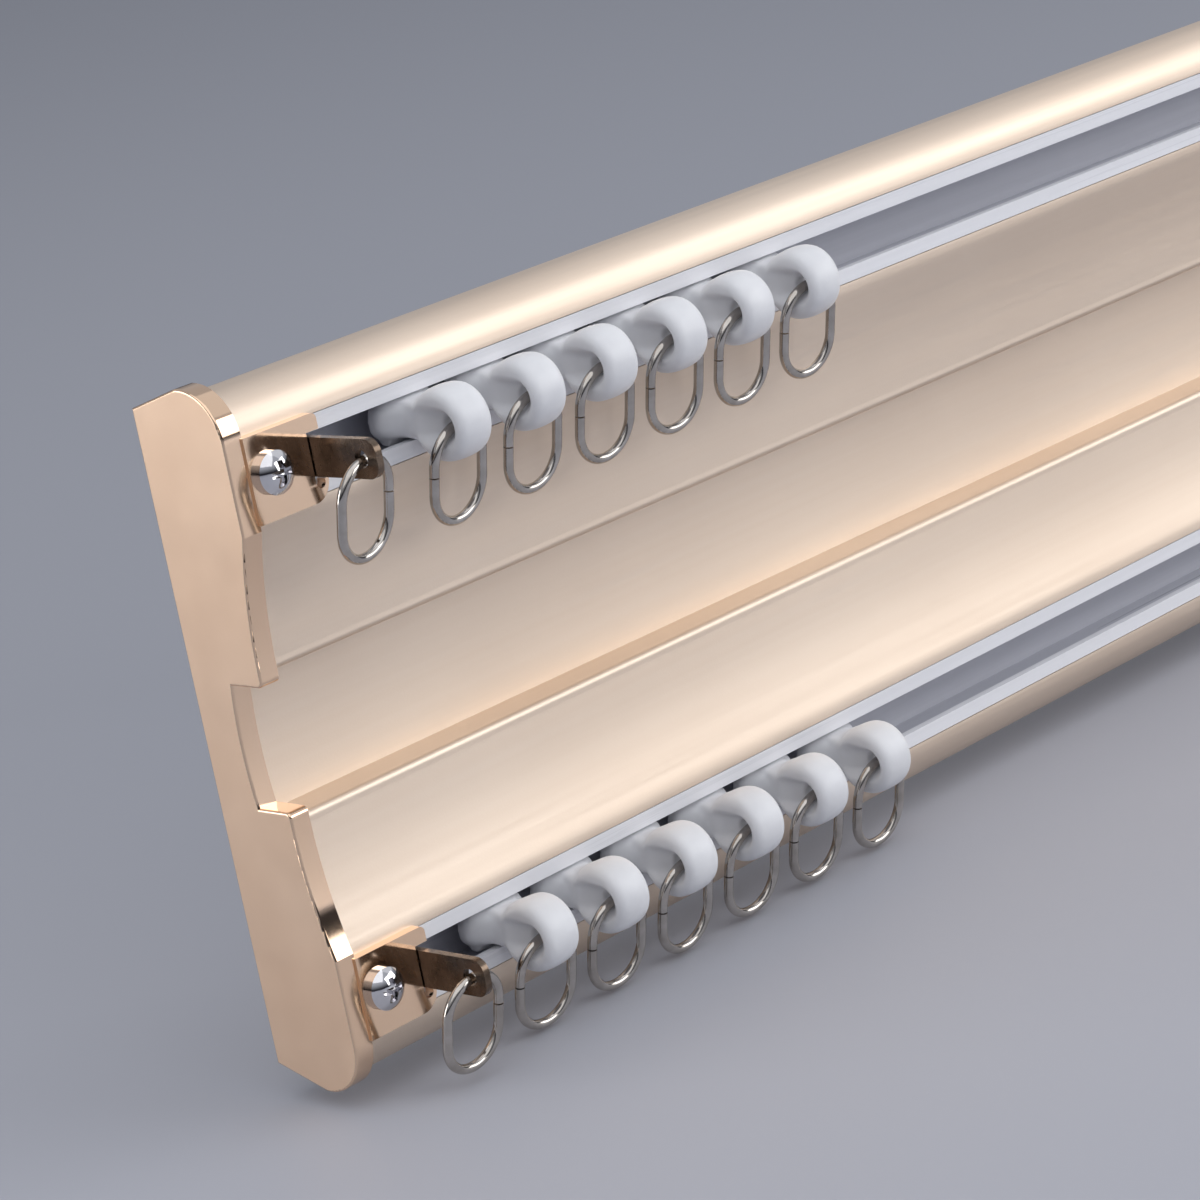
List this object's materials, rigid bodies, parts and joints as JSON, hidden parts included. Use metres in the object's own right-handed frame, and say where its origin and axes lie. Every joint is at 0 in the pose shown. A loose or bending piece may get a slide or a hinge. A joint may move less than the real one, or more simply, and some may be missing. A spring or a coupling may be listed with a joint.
{
  "type": "double curtain track",
  "caption": "Wide ceiling curtain rail with two parallel slotted tracks, moulded gliders carrying wire rings, end stops with rings and screwed end caps.",
  "frame": {"origin": "middle of the ceiling face, half-way along the track and across its width", "axes": "the track lies on its side as shown: +X along the track, from the end with the parked gliders to the other end; +Y out of the ceiling face, so the slots look along -Y into the room; +Z across the width, the way up in which the rings hang"},
  "size_m": [0.6, 0.0344, 0.1135],
  "materials": {
    "rail": "satin champagne anodised",
    "liner": "smooth white",
    "end_cap": "polished champagne plating",
    "cap_screw": "bright plated",
    "stop_bracket": "dark bronze",
    "ring": "bright nickel",
    "glider": "translucent white, semi-matte"
  },
  "bodies": {
    "track": {"rail": "rail", "end_cap_left": "end_cap", "end_cap_right": "end_cap", "liner_upper": "liner", "cap_screw_upper_left": "cap_screw", "stop_bracket_upper_left": "stop_bracket", "cap_screw_upper_right": "cap_screw", "stop_bracket_upper_right": "stop_bracket", "liner_lower": "liner", "cap_screw_lower_left": "cap_screw", "stop_bracket_lower_left": "stop_bracket", "cap_screw_lower_right": "cap_screw", "stop_bracket_lower_right": "stop_bracket"},
    "stop_ring_upper_left": {"stop_ring_upper_left": "ring"},
    "stop_ring_upper_right": {"stop_ring_upper_right": "ring"},
    "glider_upper_1": {"glider_upper_1": "glider"},
    "ring_upper_1": {"ring_upper_1": "ring"},
    "glider_upper_2": {"glider_upper_2": "glider"},
    "ring_upper_2": {"ring_upper_2": "ring"},
    "glider_upper_3": {"glider_upper_3": "glider"},
    "ring_upper_3": {"ring_upper_3": "ring"},
    "glider_upper_4": {"glider_upper_4": "glider"},
    "ring_upper_4": {"ring_upper_4": "ring"},
    "glider_upper_5": {"glider_upper_5": "glider"},
    "ring_upper_5": {"ring_upper_5": "ring"},
    "glider_upper_6": {"glider_upper_6": "glider"},
    "ring_upper_6": {"ring_upper_6": "ring"},
    "stop_ring_lower_left": {"stop_ring_lower_left": "ring"},
    "stop_ring_lower_right": {"stop_ring_lower_right": "ring"},
    "glider_lower_1": {"glider_lower_1": "glider"},
    "ring_lower_1": {"ring_lower_1": "ring"},
    "glider_lower_2": {"glider_lower_2": "glider"},
    "ring_lower_2": {"ring_lower_2": "ring"},
    "glider_lower_3": {"glider_lower_3": "glider"},
    "ring_lower_3": {"ring_lower_3": "ring"},
    "glider_lower_4": {"glider_lower_4": "glider"},
    "ring_lower_4": {"ring_lower_4": "ring"},
    "glider_lower_5": {"glider_lower_5": "glider"},
    "ring_lower_5": {"ring_lower_5": "ring"},
    "glider_lower_6": {"glider_lower_6": "glider"},
    "ring_lower_6": {"ring_lower_6": "ring"}
  },
  "joints": [
    {"name": "stop_ring_upper_left_swing", "type": "hinge", "parent": "track", "child": "stop_ring_upper_left", "pos_m": [-0.284, -0.031, 0.04105], "axis": [1, 0, 0], "range_deg": [-242, 32]},
    {"name": "stop_ring_upper_right_swing", "type": "hinge", "parent": "track", "child": "stop_ring_upper_right", "pos_m": [0.284, -0.031, 0.04105], "axis": [1, 0, 0], "range_deg": [-242, 32]},
    {"name": "glider_upper_1_slide", "type": "slide", "parent": "track", "child": "glider_upper_1", "axis": [1, 0, 0], "range_m": [-0.0093, 0.075]},
    {"name": "ring_upper_1_swing", "type": "hinge", "parent": "glider_upper_1", "child": "ring_upper_1", "pos_m": [-0.2613, -0.02685, 0.03971], "axis": [1, 0, 0], "range_deg": [-227, 18]},
    {"name": "glider_upper_2_slide", "type": "slide", "parent": "glider_upper_1", "child": "glider_upper_2", "axis": [1, 0, 0], "range_m": [-0.0027, 0.075]},
    {"name": "ring_upper_2_swing", "type": "hinge", "parent": "glider_upper_2", "child": "ring_upper_2", "pos_m": [-0.2452, -0.02685, 0.03971], "axis": [1, 0, 0], "range_deg": [-227, 18]},
    {"name": "glider_upper_3_slide", "type": "slide", "parent": "glider_upper_2", "child": "glider_upper_3", "axis": [1, 0, 0], "range_m": [-0.0027, 0.075]},
    {"name": "ring_upper_3_swing", "type": "hinge", "parent": "glider_upper_3", "child": "ring_upper_3", "pos_m": [-0.2291, -0.02685, 0.03971], "axis": [1, 0, 0], "range_deg": [-227, 18]},
    {"name": "glider_upper_4_slide", "type": "slide", "parent": "glider_upper_3", "child": "glider_upper_4", "axis": [1, 0, 0], "range_m": [-0.0027, 0.075]},
    {"name": "ring_upper_4_swing", "type": "hinge", "parent": "glider_upper_4", "child": "ring_upper_4", "pos_m": [-0.213, -0.02685, 0.03971], "axis": [1, 0, 0], "range_deg": [-227, 18]},
    {"name": "glider_upper_5_slide", "type": "slide", "parent": "glider_upper_4", "child": "glider_upper_5", "axis": [1, 0, 0], "range_m": [-0.0027, 0.075]},
    {"name": "ring_upper_5_swing", "type": "hinge", "parent": "glider_upper_5", "child": "ring_upper_5", "pos_m": [-0.1969, -0.02685, 0.03971], "axis": [1, 0, 0], "range_deg": [-227, 18]},
    {"name": "glider_upper_6_slide", "type": "slide", "parent": "glider_upper_5", "child": "glider_upper_6", "axis": [1, 0, 0], "range_m": [-0.0027, 0.075]},
    {"name": "ring_upper_6_swing", "type": "hinge", "parent": "glider_upper_6", "child": "ring_upper_6", "pos_m": [-0.1808, -0.02685, 0.03971], "axis": [1, 0, 0], "range_deg": [-227, 18]},
    {"name": "stop_ring_lower_left_swing", "type": "hinge", "parent": "track", "child": "stop_ring_lower_left", "pos_m": [-0.284, -0.031, -0.04035], "axis": [1, 0, 0], "range_deg": [-242, 32]},
    {"name": "stop_ring_lower_right_swing", "type": "hinge", "parent": "track", "child": "stop_ring_lower_right", "pos_m": [0.284, -0.031, -0.04035], "axis": [1, 0, 0], "range_deg": [-242, 32]},
    {"name": "glider_lower_1_slide", "type": "slide", "parent": "track", "child": "glider_lower_1", "axis": [1, 0, 0], "range_m": [-0.0062, 0.075]},
    {"name": "ring_lower_1_swing", "type": "hinge", "parent": "glider_lower_1", "child": "ring_lower_1", "pos_m": [-0.2644, -0.02685, -0.04169], "axis": [1, 0, 0], "range_deg": [-227, 18]},
    {"name": "glider_lower_2_slide", "type": "slide", "parent": "glider_lower_1", "child": "glider_lower_2", "axis": [1, 0, 0], "range_m": [-0.0027, 0.075]},
    {"name": "ring_lower_2_swing", "type": "hinge", "parent": "glider_lower_2", "child": "ring_lower_2", "pos_m": [-0.2483, -0.02685, -0.04169], "axis": [1, 0, 0], "range_deg": [-227, 18]},
    {"name": "glider_lower_3_slide", "type": "slide", "parent": "glider_lower_2", "child": "glider_lower_3", "axis": [1, 0, 0], "range_m": [-0.0027, 0.075]},
    {"name": "ring_lower_3_swing", "type": "hinge", "parent": "glider_lower_3", "child": "ring_lower_3", "pos_m": [-0.2322, -0.02685, -0.04169], "axis": [1, 0, 0], "range_deg": [-227, 18]},
    {"name": "glider_lower_4_slide", "type": "slide", "parent": "glider_lower_3", "child": "glider_lower_4", "axis": [1, 0, 0], "range_m": [-0.0027, 0.075]},
    {"name": "ring_lower_4_swing", "type": "hinge", "parent": "glider_lower_4", "child": "ring_lower_4", "pos_m": [-0.2161, -0.02685, -0.04169], "axis": [1, 0, 0], "range_deg": [-227, 18]},
    {"name": "glider_lower_5_slide", "type": "slide", "parent": "glider_lower_4", "child": "glider_lower_5", "axis": [1, 0, 0], "range_m": [-0.0027, 0.075]},
    {"name": "ring_lower_5_swing", "type": "hinge", "parent": "glider_lower_5", "child": "ring_lower_5", "pos_m": [-0.2, -0.02685, -0.04169], "axis": [1, 0, 0], "range_deg": [-227, 18]},
    {"name": "glider_lower_6_slide", "type": "slide", "parent": "glider_lower_5", "child": "glider_lower_6", "axis": [1, 0, 0], "range_m": [-0.0027, 0.075]},
    {"name": "ring_lower_6_swing", "type": "hinge", "parent": "glider_lower_6", "child": "ring_lower_6", "pos_m": [-0.1839, -0.02685, -0.04169], "axis": [1, 0, 0], "range_deg": [-227, 18]}
  ]
}
